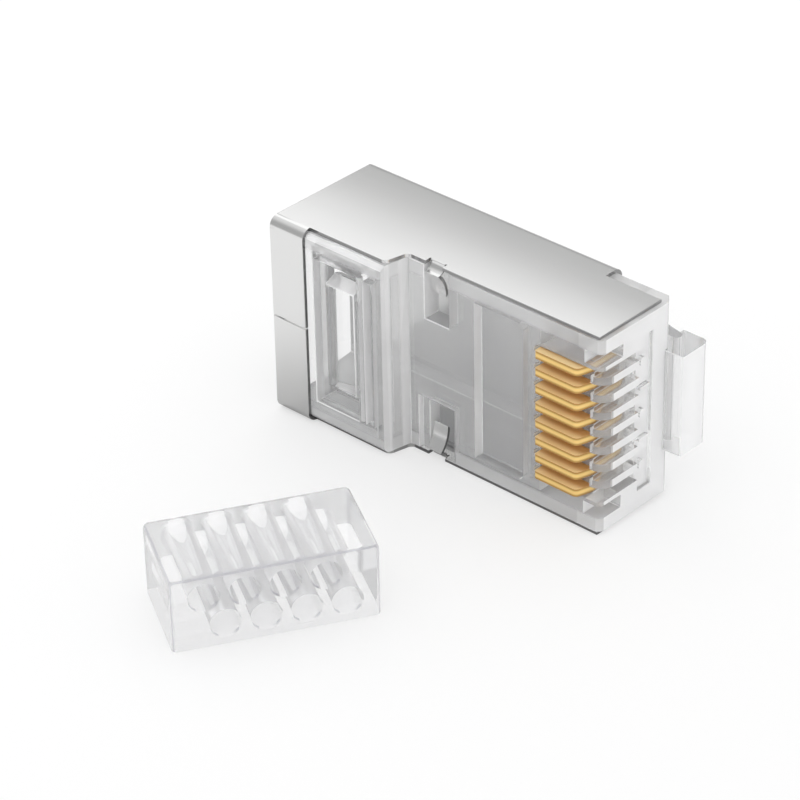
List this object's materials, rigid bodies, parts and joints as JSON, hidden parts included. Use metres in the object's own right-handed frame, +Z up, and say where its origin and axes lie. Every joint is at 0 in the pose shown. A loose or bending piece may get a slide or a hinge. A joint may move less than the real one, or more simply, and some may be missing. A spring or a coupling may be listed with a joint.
{
  "type": "rj45 modular plug",
  "caption": "Shielded clear modular plug with gold blades, a folded metal shell, a spring latch and a separate wire insert.",
  "frame": {"origin": "middle of the narrow side that the plug stands on, at floor level", "axes": "+X from the cable end to the nose, +Y from the contact side to the latch side, +Z up across the plug's width"},
  "size_m": [0.0219, 0.0308, 0.0117],
  "materials": {
    "clear_body": "gloss",
    "nickel_sheet": "satin",
    "gold_contact": "gloss",
    "clear_insert": "gloss"
  },
  "bodies": {
    "plug": {"housing": "clear_body", "shield": "nickel_sheet", "load_bar": "clear_insert"},
    "latch": {"latch_lever": "clear_body"},
    "clamp": {"cable_clamp": "clear_body"},
    "blade_1": {"contact_1": "gold_contact"},
    "blade_2": {"contact_2": "gold_contact"},
    "blade_3": {"contact_3": "gold_contact"},
    "blade_4": {"contact_4": "gold_contact"},
    "blade_5": {"contact_5": "gold_contact"},
    "blade_6": {"contact_6": "gold_contact"},
    "blade_7": {"contact_7": "gold_contact"},
    "blade_8": {"contact_8": "gold_contact"}
  },
  "joints": [
    {"name": "latch_flex", "type": "hinge", "parent": "plug", "child": "latch", "pos_m": [0.0099, 0.00437, 0.00585], "axis": [0, 0, 1], "range_deg": [0, 10.5], "stiffness_Nm_per_rad": 0.3},
    {"name": "clamp_swing", "type": "hinge", "parent": "plug", "child": "clamp", "pos_m": [-0.00455, -0.00343, 0.00585], "axis": [0, 0, -1], "range_deg": [0, 20]},
    {"name": "crimp_1", "type": "slide", "parent": "plug", "child": "blade_1", "axis": [0, 1, 0], "range_m": [0, 0.0006]},
    {"name": "crimp_2", "type": "slide", "parent": "plug", "child": "blade_2", "axis": [0, 1, 0], "range_m": [0, 0.0006]},
    {"name": "crimp_3", "type": "slide", "parent": "plug", "child": "blade_3", "axis": [0, 1, 0], "range_m": [0, 0.0006]},
    {"name": "crimp_4", "type": "slide", "parent": "plug", "child": "blade_4", "axis": [0, 1, 0], "range_m": [0, 0.0006]},
    {"name": "crimp_5", "type": "slide", "parent": "plug", "child": "blade_5", "axis": [0, 1, 0], "range_m": [0, 0.0006]},
    {"name": "crimp_6", "type": "slide", "parent": "plug", "child": "blade_6", "axis": [0, 1, 0], "range_m": [0, 0.0006]},
    {"name": "crimp_7", "type": "slide", "parent": "plug", "child": "blade_7", "axis": [0, 1, 0], "range_m": [0, 0.0006]},
    {"name": "crimp_8", "type": "slide", "parent": "plug", "child": "blade_8", "axis": [0, 1, 0], "range_m": [0, 0.0006]}
  ]
}
